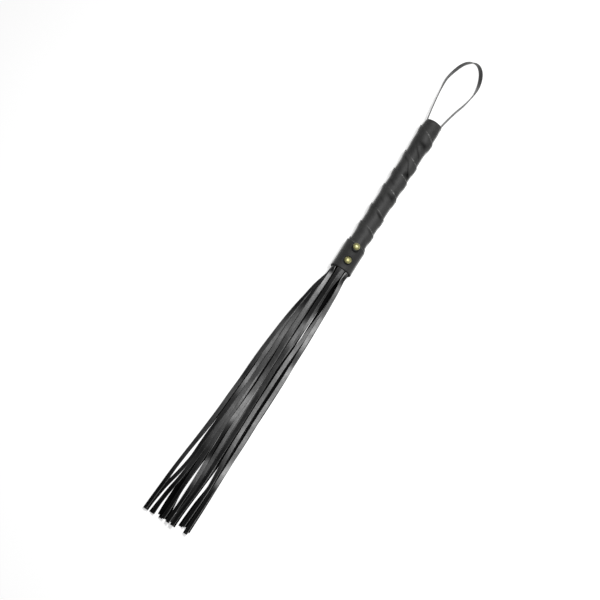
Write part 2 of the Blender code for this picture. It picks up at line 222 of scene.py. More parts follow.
def leather(name, dark, light, worn, rough, grain, depth, sheen=0.0, folds=0.35, gloss=0.5, spots=0.45,
            rim=0.0):
    """Grained leather. The mesh's wear attribute shows its edges worn; its dark attribute paints shade into
    it and dims its sheen and gloss there, and rim lightens it at grazing angles as a painted reflection.
    """
    g = Graph(name)
    clouds = g.noise(55, 4)
    specks = g.noise(2600, 2)
    wear = g.range(g.attribute("wear"), 0.40, 0.60, 0.0, 1.0)
    patchy = g.range(g.noise(420, 3), 0.35, 0.65, 0.0, 1.0)
    tone = g.range(clouds, 0.35, 0.65, 0.0, 1.0)
    base = g.mix(tone, dark, light)
    base = g.mix(g.range(specks, 0.55, 0.75, 0.0, 0.5), base, tuple(1.5 * c for c in light))
    # Painted reflection: a light rim where the surface turns away from view, along the silhouettes.
    base = g.mix(g.range(g.grazing(), 0.50, 0.90, 0.0, rim), base, tuple(16 * c for c in light))
    # Painted shade: the dark attribute darkens the colour here and dims sheen and gloss below.
    shade = g.attribute("dark")
    base = g.mix(shade, base, tuple(0.1 * c for c in dark))
    edge = g.math("MULTIPLY", wear, g.range(patchy, 0.3, 1.0, spots, 1.0))
    base = g.mix(edge, base, worn)
    pebbles = g.cells(1.0 / grain)
    pores = g.noise(2.2 / grain, 3)
    creases = g.noise(170, 5, 0.6)
    first = g.bump(creases, folds, 0.0009)
    second = g.bump(pebbles, 0.55, depth, first)
    third = g.bump(pores, 0.35, depth * 0.5, second)
    uneven = g.math("ADD", clouds, g.math("MULTIPLY", pebbles, 0.4))
    roughness = g.range(uneven, 0.4, 1.0, rough - 0.06, rough + 0.12)
    return g.finish(
        Base_Color=base, Roughness=roughness, Normal=third,
        Sheen_Weight=g.range(shade, 0.0, 1.0, sheen, 0.0),
        Specular_IOR_Level=g.range(shade, 0.0, 1.0, gloss, 0.04),
    )


def raw_edge(name, colour):
    """The fibres of a cut leather edge."""
    g = Graph(name)
    fibres = g.noise(3000, 3, vector=g.stretched((1, 0.25, 1)))
    base = g.mix(g.range(fibres, 0.3, 0.7, 0, 1), tuple(0.6 * c for c in colour), colour)
    return g.finish(Base_Color=base, Roughness=0.7, Normal=g.bump(fibres, 0.5, 0.0002))


def metal(name, dark, light, rough, metallic=1.0):
    g = Graph(name)
    stains = g.noise(700, 4)
    scratches = g.noise(2500, 2, vector=g.stretched((1, 0.2, 1)))
    base = g.mix(g.range(stains, 0.35, 0.7, 0, 1), light, dark)
    roughness = g.range(scratches, 0.3, 0.7, rough - 0.07, rough + 0.12)
    return g.finish(
        Base_Color=base, Metallic=metallic, Roughness=roughness,
        Normal=g.bump(g.math("ADD", stains, scratches), 0.25, 0.00015),
    )


def timber(name):
    """Wood grain along the handle."""
    g = Graph(name)
    rings = g.noise(900, 4, vector=g.stretched((1, 0.05, 1)))
    base = g.mix(g.range(rings, 0.35, 0.65, 0, 1), (0.30, 0.18, 0.09), (0.50, 0.34, 0.19))
    return g.finish(Base_Color=base, Roughness=0.6, Normal=g.bump(rings, 0.3, 0.0002))


def floor_white(name):
    g = Graph(name)
    base = g.mix(g.noise(6, 2), (0.42, 0.42, 0.42), (0.44, 0.44, 0.44))
    return g.finish(
        Base_Color=base, Roughness=0.9, Specular_IOR_Level=0.1,
        Emission_Color=(1, 1, 1), Emission_Strength=0.64,
    )


# ---------------------------------------------------------------- mesh helpers


def ease(value):
    value = min(max(value, 0.0), 1.0)
    return value * value * (3 - 2 * value)


def curve(places, values):
    """Smooth function through points: cubic Hermite with finite-difference slopes."""
    count = len(places)
    slopes = []
    for k in range(count):
        a, b = max(k - 1, 0), min(k + 1, count - 1)
        slopes.append((values[b] - values[a]) / (places[b] - places[a]))

    def at(x):
        x = min(max(x, places[0]), places[-1])
        k = max(j for j in range(count - 1) if places[j] <= x or j == 0)
        span = places[k + 1] - places[k]
        t = (x - places[k]) / span
        a = values[k] * (1 + 2 * t) * (1 - t) ** 2 + slopes[k] * span * t * (1 - t) ** 2
        b = values[k + 1] * t * t * (3 - 2 * t) + slopes[k + 1] * span * t * t * (t - 1)
        return a + b

    return at


def loft(name, rings, materials, wear=None, side=None, dark=None, looped=False):
    """Skin over closed rings of points. wear and dark are each ring point's, side each face's material."""
    bm = bmesh.new()
    layer = bm.verts.layers.float.new("wear")
    shade = bm.verts.layers.float.new("dark")
    count = len(rings[0])
    made = []
    for j, ring in enumerate(rings):
        row = []
        for k, point in enumerate(ring):
            vert = bm.verts.new(point)
            vert[layer] = wear(j, k) if wear else 0.0
            vert[shade] = dark(j, k) if dark else 0.0
            row.append(vert)
        made.append(row)
    pairs = list(zip(made, made[1:]))
    if looped:
        pairs.append((made[-1], made[0]))
    for a, b in pairs:
        for k in range(count):
            n = (k + 1) % count
            face = bm.faces.new((a[k], a[n], b[n], b[k]))
            face.material_index = side(k) if side else 0
    if not looped:
        for row in (made[0], made[-1]):
            face = bm.faces.new(row)
            face.material_index = len(materials) - 1
    return wrap_up(name, bm, materials)


def wrap_up(name, bm, materials):
    bmesh.ops.recalc_face_normals(bm, faces=bm.faces[:])
    mesh = bpy.data.meshes.new(name)
    bm.to_mesh(mesh)
    bm.free()
    mesh.shade_smooth()
    mesh.set_sharp_from_angle(angle=SHARP)
    made = bpy.data.objects.new(name, mesh)
    bpy.context.scene.collection.objects.link(made)
    for material in materials:
        mesh.materials.append(material)
    return made


def strip_rings(stations, width, thick):
    """Rounded rectangle sections; a station is (centre, across, through, width factor)."""
    rings = []
    for centre, across, through, factor in stations:
        w, t, b = width / 2 * factor, thick / 2, 0.22 * thick
        outline = (
            (-w, -t + b), (-w + b, -t), (0, -t), (w - b, -t), (w, -t + b),
            (w, t - b), (w - b, t), (0, t * 1.06), (-w + b, t), (-w, t - b),
        )
        rings.append([centre + across * x + through * y for x, y in outline])
    return rings


def strip_wear(length):
    def wear(j, k):
        ends = 1.0 if j == length - 1 else 0.0
        return max(ends * 0.5, 0.0 if k in (2, 7) else 0.55)
    return wear


def strip_side(k):
    return 1 if k in (4, 9) else 0


# ---------------------------------------------------------------- handle


def on_handle(radius, y, angle):
    return Vector((AXIS_X + radius * math.cos(angle), y, AXIS_Z + radius * math.sin(angle)))


# Distance of the wrap's seam below the butt, on the upper side, turn by turn
SEAMS = (-45, -14, 17, 52.3, 74.9, 96.9, 125.2, 147.7, 171, 195, 220, 245)
LAP = 3.0
SEAM_ANGLE = math.radians(82)
WRAP_TURNS = 10.4
STEPS_A_TURN = 72
# Across the strip: steps on its outer face and steps back along its inner one
OUTER_STEPS = 30
INNER_STEPS = 5
WRAP_THICK = 1.0
LAP_LIFT = 1.05
# How far the wrap runs under the collar, from the mouth
WRAP_END = 24.5
# Soft folds in the wrap: distance from the butt, place across the upper side, half length along the
# handle, half width, slope (down per across) and depth, in mm
# A fold's depth also paints shade into the wrap's colour.
FOLDS = (
    (31.5, 2.5, 3.4, 6.0, 0.25, 0.80), (42.4, 2.5, 1.5, 6.5, 0.95, 0.70), (72.0, 6.0, 3.4, 5.0, 0.0, 0.75),
    (65.8, 3.3, 1.5, 5.5, 1.5, 0.65), (104.0, 2.5, 3.0, 5.4, 0.3, 0.75), (129.5, 3.0, 1.8, 4.8, 0.5, 0.75),
    (151.0, 3.5, 1.4, 4.0, 0.4, 0.45), (88.0, -5.0, 1.6, 4.0, 0.4, 0.35), (112.0, -4.0, 1.6, 4.0, 0.4, 0.3),
    (56.0, -5.5, 1.6, 3.6, 0.6, 0.35),
)
seam_at = curve(list(range(-2, len(SEAMS) - 2)), list(SEAMS))


def handle_radius(y, angle):
    """Outer radius of the strip's low face: a bulge over the strap ends, and hand-wrapped unevenness."""
    down = (BUTT - y) / MM
    bulge = ease(down / 11) * (1 - ease((down - 27) / 16))
    sides = 0.35 + 0.65 * math.cos(angle) ** 2
    rim = -0.5 * (1 - ease(down / 1.6))
    uneven = noise.noise(Vector((math.cos(angle) * 1.2, math.sin(angle) * 1.2, y * 55))) * 0.16
    fine = noise.noise(Vector((math.cos(angle) * 3.5, math.sin(angle) * 3.5, y * 240))) * 0.05
    return (10.35 + 0.75 * bulge * sides + rim + uneven + fine) * MM


def fold(y, angle):
    """How deep in a fold a place on the wrap is, from 0 to about 1; the wrap sinks there and its colour
    takes painted shade.
    """
    down = (BUTT - y) / MM
    across = math.remainder(SEAM_ANGLE - angle, math.tau) * 11.0
    total = 0.0
    for place, side, along, wide, slope, depth in FOLDS:
        u = (down - place - slope * (across - side)) / along
        v = (across - side) / wide
        total += depth * math.exp(-u * u - v ** 4)
    return min(total, 1.0)


def add_wrap(material, edge):
    """The spiral strip, each turn lifted where it laps its neighbour, cut flat at both ends."""
    rings = []
    places = []
    for j in range(int(WRAP_TURNS * STEPS_A_TURN) + 1):
        turn = j / STEPS_A_TURN - 2
        angle = SEAM_ANGLE - math.tau * turn
        high = seam_at(turn)
        low = seam_at(turn + 1) + LAP
        step = [low + (high - low) * k / OUTER_STEPS for k in range(OUTER_STEPS + 1)]
        back = [low + (high - low) * k / INNER_STEPS for k in range(INNER_STEPS, -1, -1)]
        wobble = 0.35 * noise.noise(Vector((math.cos(angle), math.sin(angle), j * 0.02 + 7)))
        ring, spots = [], []
        for number, down in enumerate(step + back):
            inside = number > OUTER_STEPS
            top = down - high
            lift = LAP_LIFT * (1 - ease((top - LAP) / 9)) * MM
            y = BUTT - down * MM
            if inside:
                radius = handle_radius(y, angle) + lift - WRAP_THICK * MM
            else:
                y += wobble * MM * ease(1 - top / 12)
                deep = fold(y, angle)
                lip = 0.18 * MM * math.exp(-((top / 1.2) ** 2))
                radius = handle_radius(y, angle) + lift + lip - 0.38 * MM * deep
            ring.append(on_handle(radius, y, angle))
            # Kept per point: which way it faces, for the painted highlight on the seams, and its fold
            # depth, for painted shade.
            spots.append((math.cos(angle), 0.0 if inside else deep))
        rings.append(ring)
        places.append(spots)

    # Worn seam edges, lighter towards the right where the light falls: real wear with a painted highlight.
    def wear(j, k):
        right = 0.12 + 0.88 * ease((places[j][k][0] + 0.15) / 0.5)
        return (0.40 + 0.25 * right) if k in (OUTER_STEPS - 1, OUTER_STEPS) else 0.0

    def side(k):
        return 1 if k == OUTER_STEPS else 0

    # Painted shade in the folds.
    def dark(j, k):
        return places[j][k][1]

    wrap = loft("wrap", rings, [material, edge], wear, side, dark)
    bm = bmesh.new()
    bm.from_mesh(wrap.data)
    for y, sign in ((BUTT, 1), (MOUTH + WRAP_END * MM, -1)):
        cut = bmesh.ops.bisect_plane(
            bm, geom=bm.verts[:] + bm.edges[:] + bm.faces[:], dist=1e-7,
            plane_co=(0, y, 0), plane_no=(0, sign, 0), clear_outer=True,
        )
        edges = [item for item in cut["geom_cut"] if isinstance(item, bmesh.types.BMEdge)]
        bmesh.ops.triangle_fill(bm, edges=edges, use_beauty=True)
    bmesh.ops.recalc_face_normals(bm, faces=bm.faces[:])
    bm.to_mesh(wrap.data)
    bm.free()
    wrap.data.set_sharp_from_angle(angle=SHARP)
    return wrap


RIVETS = [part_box(f"rivet_cap_{k}") for k in (1, 2)]
RIVET_ANGLE = math.radians(90 - 11)
COLLAR_INNER = 11.72
COLLAR_AROUND = 120
COLLAR_STEPS = 60


def rivet_y(k):
    low, high = RIVETS[k]
    return (low.y + high.y) / 2


def add_collar(material, edge, mouth_shade_paint):
    """The collar, dished round its rivets, with rounded rims and a cut edge at both ends; painted shade
    darkens it round the rivets, and the mouth's edge is painted near black as shade.
    """
    length = COLLAR_TOP - MOUTH
    along = [k / COLLAR_STEPS for k in range(COLLAR_STEPS + 1)]

    def outer_radius(y, angle):
        s = (y - MOUTH) / length
        soft = 0.10 * noise.noise(Vector((math.cos(angle) * 1.6, math.sin(angle) * 1.6, y * 70 + 3)))
        rim = -0.22 * (1 - ease(min(s, 1 - s) * length / MM / 0.7))
        waist = -0.12 * math.sin(math.pi * s)
        radius = COLLAR_R / MM + soft + rim + waist
        for k in (0, 1):
            arc = (angle - RIVET_ANGLE) * COLLAR_R
            gap = math.hypot(arc, y - rivet_y(k)) / MM
            radius -= 0.42 * math.exp(-(((gap - 4.1) / 0.9) ** 2)) + 0.25 * (gap < 4)
            radius += 0.16 * math.exp(-(((gap - 6.6) / 1.3) ** 2))
        return radius * MM

    rings = []
    for j in range(COLLAR_AROUND):
        angle = math.tau * j / COLLAR_AROUND
        ring = []
        shift = (0.4 * math.sin(2 * angle + 0.6) - 2.4 * (1 + math.cos(angle))) * MM
        for s in along:
            y = MOUTH + length * s + shift * s * s
            ring.append(on_handle(outer_radius(MOUTH + length * s, angle), y, angle))
        inner = COLLAR_INNER * MM
        ring.append(on_handle(inner + 0.15 * MM, COLLAR_TOP + shift, angle))
        ring.append(on_handle(inner, COLLAR_TOP - 1.5 * MM, angle))
        ring.append(on_handle(inner, MOUTH + 1.5 * MM, angle))
        ring.append(on_handle(inner + 0.12 * MM, MOUTH, angle))
        rings.append(ring)
    count = len(rings[0])

    def wear(j, k):
        if k in (0, COLLAR_STEPS):
            return 0.6
        return 0.45 if k in (1, COLLAR_STEPS - 1) else 0.0

    # Material 2 paints the mouth's edge and its first band near black: painted shade at the mouth.
    def side(k):
        if k == COLLAR_STEPS:
            return 1
        return 2 if k in (0, 1, count - 1) else 0

    # Painted shade: a dark ring at each rivet cap's edge and a broad darkening round both rivets.
    def dark(j, k):
        if k > COLLAR_STEPS:
            return 0.0
        total = 0.0
        for n in (0, 1):
            arc = math.remainder(math.tau * j / COLLAR_AROUND - RIVET_ANGLE, math.tau) * COLLAR_R
            gap = math.hypot(arc, (MOUTH + length * along[k] - rivet_y(n)) * 0.9) / MM
            rivet_ring_shade = 0.6 * math.exp(-(((gap - 4.2) / 1.1) ** 2)) * (gap > 2.5)
            total += rivet_ring_shade + 0.4 * math.exp(-((gap / 9) ** 2))
        return min(total, 1.0)

    return loft("collar_band", rings, [material, edge, mouth_shade_paint], wear, side, dark, looped=True)


# A rivet cap turned about its own axis: radius and height over the collar, in mm
DOME_PROFILE = (
    (0.02, 1.95), (0.8, 1.92), (1.6, 1.76), (2.4, 1.46), (3.0, 1.12), (3.45, 0.78),
    (3.75, 0.48), (3.92, 0.26), (4.0, 0.05), (3.95, -0.15), (3.3, -0.28), (0.02, -0.28),
)
DOME_AROUND = 48


def add_rivet(k, material):
    y = rivet_y(k)
    out = Vector((math.cos(RIVET_ANGLE), 0, math.sin(RIVET_ANGLE)))
    side = Vector((-out.z, 0, out.x))
    centre = Vector((AXIS_X, y, AXIS_Z)) + out * (COLLAR_R - 0.15 * MM)
    rings = []
    for r, h in DOME_PROFILE:
        ring = []
        for n in range(DOME_AROUND):
            angle = math.tau * n / DOME_AROUND
            dent = 1 + 0.012 * noise.noise(Vector((math.cos(angle), math.sin(angle), r + 5 * k)))
            spoke = side * math.cos(angle) + Vector((0, 1, 0)) * math.sin(angle)
            ring.append(centre + out * (h * MM) + spoke * (r * dent * MM))
        rings.append(ring)
    return loft(f"rivet_dome_{k + 1}", rings, [material])


# The butt disc: radius and height over its face, in mm, and the radius left at its two strap notches
DISC_PROFILE = ((9.0, -1.1), (9.05, -0.5), (8.9, -0.2), (8.5, -0.05), (6.0, 0.0), (3.0, 0.0), (0.02, 0.0))
DISC_AROUND = 72
NOTCH_RADIUS = 7.2
NOTCH_HALF = 0.34


def add_disc(material):
    rings = []
    for r, h in DISC_PROFILE:
        ring = []
        for n in range(DISC_AROUND):
            angle = math.tau * n / DISC_AROUND
            notch = 0.0
            if abs(math.sin(angle)) < NOTCH_HALF and r > NOTCH_RADIUS:
                notch = r - NOTCH_RADIUS
            dish = 0.04 * math.sin(3 * angle) * (r < 8)
            ring.append(on_handle((r - notch) * MM, BUTT + (h + dish) * MM, angle))
        rings.append(ring)
    return loft("butt_cap", rings, [material])


# ---------------------------------------------------------------- wrist loop

STRAP_WIDTH = 5.5
STRAP_THICK = 1.2
LOOP_STEPS = 200
# The strap's centre line: x from the axis and y beyond the butt in mm, then its turn about that line
LOOP_SHAPE = (
    (-8.4, -26, 0), (-8.5, -10, 0), (-8.9, 0, 0), (-11.2, 14, 1), (-13.6, 30, 3), (-15.6, 46, 12),
    (-16.4, 60, 30), (-13.4, 75, 48), (-9.3, 86, 52), (-4.0, 92.3, 42), (2.0, 94.4, 12), (8.0, 92.6, -22),
    (13.4, 87, -42), (17.4, 78.5, -46), (20.0, 68, -34), (20.4, 56, -14), (18.0, 41, -3), (14.0, 26.6, 0),
    (10.8, 12, 0), (8.9, 0, 0), (8.5, -10, 0), (8.4, -26, 0),
)


def loop_path():
    steps = list(range(len(LOOP_SHAPE)))
    x_at = curve(steps, [p[0] for p in LOOP_SHAPE])
    y_at = curve(steps, [p[1] for p in LOOP_SHAPE])
    turn_at = curve(steps, [p[2] for p in LOOP_SHAPE])
    path = []
    last = steps[-1]
    for k in range(LOOP_STEPS + 1):
        u = last * k / LOOP_STEPS
        ahead = Vector((x_at(u + 0.02) - x_at(u - 0.02), y_at(u + 0.02) - y_at(u - 0.02), 0)).normalized()
        inward = Vector((ahead.y, -ahead.x, 0))
        turn = math.radians(turn_at(u))
        across = UP * math.cos(turn) + inward * math.sin(turn)
        through = inward * math.cos(turn) - UP * math.sin(turn)
        y = y_at(u)
        half = STRAP_WIDTH / 2 * abs(across.z) + STRAP_THICK / 2 * abs(through.z)
        low = (AXIS_Z / MM - STRAP_WIDTH / 2) * (1 - max(y, 0) / 95.0)
        wave = 0.5 * math.sin(u * 0.9) * ease(y / 20) * (1 - ease((y - 70) / 20))
        centre = Vector((AXIS_X + x_at(u) * MM, BUTT + y * MM, (max(low, 0.0) + half + wave) * MM))
        path.append((centre, across, through, 1.0))
    return path


def add_loop(material, edge):
    path = loop_path()
    rings = strip_rings(path, STRAP_WIDTH * MM, STRAP_THICK * MM)
    strap = loft("wrist_strap", rings, [material, edge], strip_wear(len(rings)), strip_side)
    return strap, path


# ---------------------------------------------------------------- fringe

# All in mm: where the tails leave the neck, a CAD tail's width, a strip's width and thickness, the
# distance between stations, the reach they start at and the one they run to
NECK = 28
TAIL_WIDTH = 4.8
STRIP_WIDTH = 4.6
TAIL_THICK = 0.95
STEP = 2
START = -6
FINISH = 342
# The height line over the floor: points a millimetre, and the room to the left of the axis
LINE_POINTS = 4
LINE_ROOM = 50
LINE_LENGTH = 360
# The routes of the CAD tails: reaches from the mouth and, below, each tail's x from the axis there
TAIL_STOPS = (28, 45, 60, 80, 100, 120, 140, 160, 180, 200, 225, 245, 260, 280, 300, 320, 333)
# In the order they are heaped: place round the mouth in degrees, its radius, its leather copy (painted
# light
# and shade: 1 shaded, 3 lit), length from the mouth, x at each stop, then (reach, tilt) with the right edge
# up, in mm and degrees
TAILS = {
    "tail_low_1": (214, 10.0, 1, 331, (
        -13.2, -16.8, -19.6, -22.4, -24.4, -26.0, -27.2, -28.3, -29.2, -30.2, -32.4, -34.8, -36.7,
        -38.6, -39.7, -40.5, -41.0), (
        (10, -40), (28, -20), (60, 0), (230, 0), (260, 16), (285, 6), (333, 0))),
    "tail_low_3": (250, 10.0, 1, 331, (
        -7.0, -9.4, -11.2, -12.8, -13.8, -14.3, -14.4, -14.5, -14.8, -15.4, -16.4, -17.2, -18.2, -19.2,
        -19.4, -17.2, -16.6), (
        (10, -18), (28, 0), (333, 0))),
    "tail_low_5": (290, 10.0, 1, 333, (
        0.4, -0.4, -1.0, -1.2, -1.0, -0.8, -0.6, -0.6, -0.6, -0.6, -0.6, -0.6, -1.0, -2.5, -4.1, -5.6,
        -6.0), (
        (10, 20), (28, 0), (333, 0))),
    "tail_low_7": (336, 10.0, 1, 330, (
        8.2, 8.5, 8.8, 9.2, 9.8, 10.2, 10.5, 10.6, 10.5, 10.3, 10.3, 10.3, 10.3, 10.5, 10.7, 10.9, 11.1), (
        (10, 66), (28, 20), (60, 0), (333, 0))),
    "tail_low_2": (232, 10.0, 1, 330, (
        -10.4, -13.4, -15.9, -18.1, -19.6, -20.6, -21.3, -22.0, -22.9, -23.8, -24.2, -24.4, -24.2,
        -24.2, -24.6, -24.6, -24.2), (
        (10, -30), (28, -10), (60, 0), (333, 0))),
    "tail_low_4": (268, 10.0, 1, 332, (
        -3.6, -5.6, -7.0, -7.7, -7.8, -7.8, -7.9, -8.2, -9.2, -10.8, -11.6, -11.9, -11.6, -11.6, -12.0,
        -13.0, -13.6), (
        (10, 0), (333, 0))),
    "tail_low_6": (312, 10.0, 1, 329, (
        4.4, 4.4, 4.4, 4.7, 5.3, 5.7, 5.8, 5.8, 5.8, 5.8, 6.1, 6.3, 6.1, 4.9, 2.6, 1.5, 1.0), (
        (10, 30), (28, 10), (60, 0), (333, 0))),
    "tail_mid_7": (2, 9.6, 1, 333, (
        9.2, 9.5, 9.6, 9.8, 10.1, 10.4, 10.8, 10.8, 10.5, 10.5, 10.5, 10.4, 10.3, 10.0, 9.7, 9.4, 9.4), (
        (10, -80), (28, -40), (60, -12), (90, -10), (260, -6), (300, 0), (333, 6))),
    "tail_mid_2": (180, 9.5, 1, 333, (
        -11.0, -12.6, -14.2, -16.0, -16.8, -17.0, -17.8, -18.8, -20.0, -21.3, -23.0, -23.4, -23.8,
        -26.4, -30.2, -32.6, -33.8), (
        (8, 34), (28, 24), (60, 0), (260, 4), (300, 16), (333, 8))),
    "tail_mid_4": (148, 9.2, 2, 333, (
        -8.0, -9.0, -9.5, -9.8, -9.9, -9.9, -9.8, -9.2, -8.9, -8.7, -8.4, -8.1, -8.0, -8.0, -8.1, -7.6,
        -7.0), (
        (12, 10), (28, 0), (130, 0), (150, -3), (190, -6), (225, -4), (260, 0), (290, 12), (305, 22),
        (333, 22))),
    "tail_mid_6": (16, 9.2, 1, 327, (
        8.6, 8.2, 7.4, 6.0, 4.5, 3.4, 2.9, 2.6, 2.6, 2.8, 3.4, 4.4, 5.7, 6.7, 6.9, 6.4, 6.0), (
        (10, -50), (28, -20), (60, 0), (245, 4), (262, 8), (285, 14), (305, 20), (333, 16))),
    "tail_mid_1": (200, 9.5, 0, 333, (
        -12.6, -15.2, -17.4, -19.6, -21.2, -22.5, -23.2, -24.0, -24.8, -25.5, -27.0, -28.0, -28.7,
        -31.8, -36.0, -38.6, -39.6), (
        (8, 30), (28, 16), (45, 0), (100, -4), (160, -4), (190, 8), (225, 20), (265, 20), (295, 16),
        (333, 12))),
    "tail_mid_3": (163, 9.2, 1, 333, (
        -9.0, -10.4, -11.8, -13.0, -13.8, -14.2, -14.3, -14.6, -15.4, -16.8, -18.2, -19.0, -19.6, -21.0,
        -22.2, -22.0, -21.6), (
        (10, 30), (28, 10), (60, 0), (215, 4), (240, 12), (265, 22), (285, 26), (333, 20))),
    "tail_mid_5": (70, 9.8, 2, 331, (
        -0.2, -0.6, -0.7, -1.4, -2.6, -3.6, -4.4, -4.9, -5.0, -4.9, -4.4, -3.4, -2.4, -3.2, -5.4, -7.6,
        -8.4), (
        (10, -18), (28, -12), (60, -6), (90, 0), (240, 0), (262, -10), (285, 6), (333, 0))),
    "tail_top_1": (184, 9.7, 0, 333, (
        -15.3, -18.4, -20.9, -23.5, -25.5, -27.3, -28.5, -29.6, -30.5, -31.3, -33.1, -35.0, -36.7,
        -38.5, -39.6, -40.6, -41.2), (
        (8, 34), (28, 34), (45, 28), (60, 15), (80, 6), (120, 5), (200, 4), (240, 6), (260, 8), (280, 14),
        (300, 20), (333, 20))),
    "tail_top_3": (157, 10.2, 2, 332, (
        -10.6, -11.8, -13.2, -15.0, -15.9, -16.0, -16.6, -16.5, -16.9, -17.8, -18.6, -18.5, -18.3,
        -18.4, -18.4, -18.6, -19.2), (
        (8, 34), (28, 28), (45, 14), (65, 4), (90, 0), (140, -2), (165, -5), (190, -3), (225, 4), (250, 12),
        (280, 20), (320, 28), (333, 26))),
    "tail_top_5": (96, 10.2, 0, 333, (
        -1.8, -2.8, -3.5, -3.8, -3.9, -3.9, -3.9, -3.8, -3.5, -3.2, -2.9, -2.6, -2.5, -2.9, -4.4, -6.0,
        -6.4), (
        (10, 14), (45, 14), (60, 13), (68, 3), (74, -5), (95, -4), (112, 7), (140, 8), (175, 9), (200, 11),
        (225, 14), (250, 20), (275, 24), (333, 20))),
    "tail_top_6": (33, 9.4, 3, 328, (
        9.4, 8.8, 7.6, 5.9, 4.2, 3.0, 2.6, 2.5, 2.5, 2.7, 3.0, 3.5, 4.3, 5.4, 5.2, 4.4, 3.8), (
        (10, -56), (28, -40), (45, -22), (58, -4), (70, -2), (90, -4), (190, -4), (225, -3), (245, 4),
        (262, 14), (275, 26), (300, 34), (333, 30))),
    "tail_top_2": (168, 10.2, 0, 333, (
        -12.0, -13.4, -14.8, -16.0, -16.4, -16.6, -17.4, -18.6, -19.7, -20.8, -22.2, -23.2, -24.0,
        -26.2, -29.0, -31.2, -31.6), (
        (8, 40), (28, 34), (45, 22), (60, 6), (80, 0), (120, -1), (190, 0), (225, 2), (260, 10), (300, 24),
        (333, 22))),
    "tail_top_4": (138, 10.2, 2, 333, (
        -7.8, -8.8, -9.8, -10.2, -10.1, -10.0, -10.2, -10.8, -11.8, -12.9, -13.6, -13.0, -12.1, -11.8,
        -11.9, -12.2, -12.5), (
        (10, -4), (20, -12), (45, -11), (65, -2), (90, 0), (160, 0), (180, -6), (200, -12), (215, -38),
        (230, -60), (243, -45), (258, -12), (280, 0), (300, 18), (333, 26))),
    "tail_top_7": (30, 10.3, 3, 332, (
        9.9, 10.0, 10.0, 10.0, 10.1, 10.3, 10.6, 10.6, 10.4, 10.3, 10.3, 10.3, 10.4, 10.9, 11.1, 10.9,
        10.8), (
        (8, -36), (18, -20), (28, -16), (45, -13), (60, -12), (105, -12), (150, -13), (258, -11), (272, -2),
        (286, 24), (333, 30))),
}


def station(reach):
    return int((reach - START) / STEP)


def spread_max(values, reach):
    return [max(values[max(k - reach, 0):k + reach + 1]) for k in range(len(values))]


def spread_mean(values, reach):
    means = []
    for k in range(len(values)):
        part = values[max(k - reach, 0):k + reach + 1]
        means.append(sum(part) / len(part))
    return means


def resting_height(line, x, tilt):
    """The lowest centre height at which a tilted tail clears the height line of those below it."""
    high = 0.0
    for n in range(-11, 12):
        d = n / 11 * TAIL_WIDTH / 2
        high = max(high, line[int((x + d * math.cos(tilt) + LINE_ROOM) * LINE_POINTS)] - d * math.sin(tilt))
    return high + TAIL_THICK / 2 / max(math.cos(tilt), 0.35) + 0.12


def raise_line(line, x, z, tilt):
    """Add a tail that lies at height z to the height line."""
    half = TAIL_THICK / 2 / max(math.cos(tilt), 0.35)
    for n in range(-11, 12):
        d = n / 11 * TAIL_WIDTH / 2
        spot = int((x + d * math.cos(tilt) + LINE_ROOM) * LINE_POINTS)
        line[spot] = max(line[spot], z + d * math.sin(tilt) + half)


